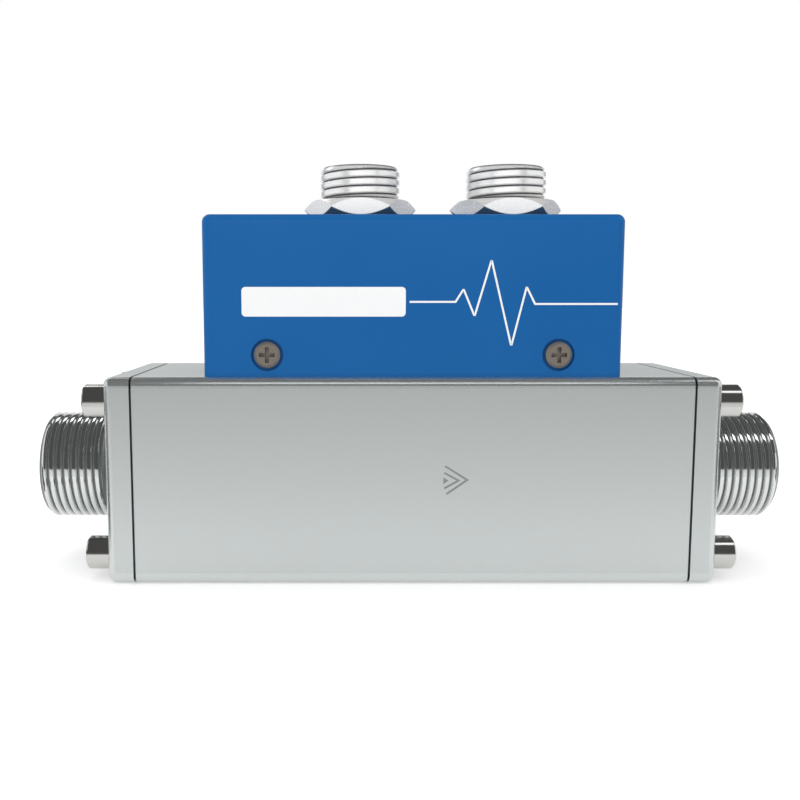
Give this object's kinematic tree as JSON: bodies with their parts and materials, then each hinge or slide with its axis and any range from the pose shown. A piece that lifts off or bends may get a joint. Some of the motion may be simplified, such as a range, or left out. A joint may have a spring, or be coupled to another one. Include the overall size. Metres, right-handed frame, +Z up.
{
  "type": "mass flow meter",
  "caption": "In-line gas mass flow meter: square metal flow body with screwed end plates, male pipe fittings, boxed electronics on top and round cable connectors.",
  "frame": {"origin": "centre of the flow body's underside, between the two end plates", "axes": "+X along the flow from inlet to outlet, +Y from the front with the cover's markings to the back, +Z up"},
  "size_m": [0.2266, 0.06, 0.1235],
  "materials": {
    "anodised_aluminium": "satin anodised, fine blasted grain",
    "turned_steel": "bright turned stainless steel",
    "screw_steel": "plain stainless steel, lightly polished",
    "blue_paint": "smooth blue paint, satin gloss",
    "dark_screw": "dark bronzed steel",
    "connector_nickel": "pale satin nickel plate",
    "insert_plastic": "black moulded plastic",
    "contact_gold": "gold plated contact",
    "seal_rubber": "black elastomer",
    "gasket_rubber": "black elastomer washer",
    "screen_steel": "woven stainless wire",
    "straightener_aluminium": "thin-walled honeycomb",
    "holder_steel": "machined stainless steel",
    "circuit_board": "green solder resist on glass laminate",
    "ceramic_blade": "fired ceramic substrate",
    "silicon_chip": "bare silicon sensor die",
    "chip_plastic": "black moulded package",
    "capacitor_can": "drawn aluminium can",
    "bracket_zinc": "zinc plated sheet steel"
  },
  "bodies": {
    "root": {"flow_body": "anodised_aluminium", "inlet_end_plate": "anodised_aluminium", "outlet_end_plate": "anodised_aluminium", "inlet_fitting": "turned_steel", "outlet_fitting": "turned_steel", "inlet_seal": "seal_rubber", "outlet_seal": "seal_rubber", "inlet_plate_screws": "screw_steel", "outlet_plate_screws": "screw_steel", "inlet_screen": "screen_steel", "flow_straightener": "straightener_aluminium", "screen_spacer": "straightener_aluminium", "second_screen": "screen_steel", "sensor_holder": "holder_steel", "sensor_seal": "seal_rubber", "sensor_screws": "screw_steel", "sensor_blade": "ceramic_blade", "sensor_chip": "silicon_chip", "sensor_header": "insert_plastic", "electronics_cover": "blue_paint", "cover_screws": "dark_screw", "cover_bracket": "bracket_zinc", "bracket_screws": "screw_steel", "board_pillars": "bracket_zinc", "main_board": "circuit_board", "board_screws": "screw_steel", "processor": "chip_plastic", "small_chips": "chip_plastic", "capacitors": "capacitor_can", "upper_board": "circuit_board", "board_link": "insert_plastic", "left_connector_shell": "connector_nickel", "right_connector_shell": "connector_nickel", "connector_gaskets": "gasket_rubber", "connector_nuts": "connector_nickel", "left_connector_insert": "insert_plastic", "right_connector_insert": "insert_plastic", "left_connector_pins": "contact_gold", "right_connector_pins": "contact_gold"}
  },
  "joints": []
}
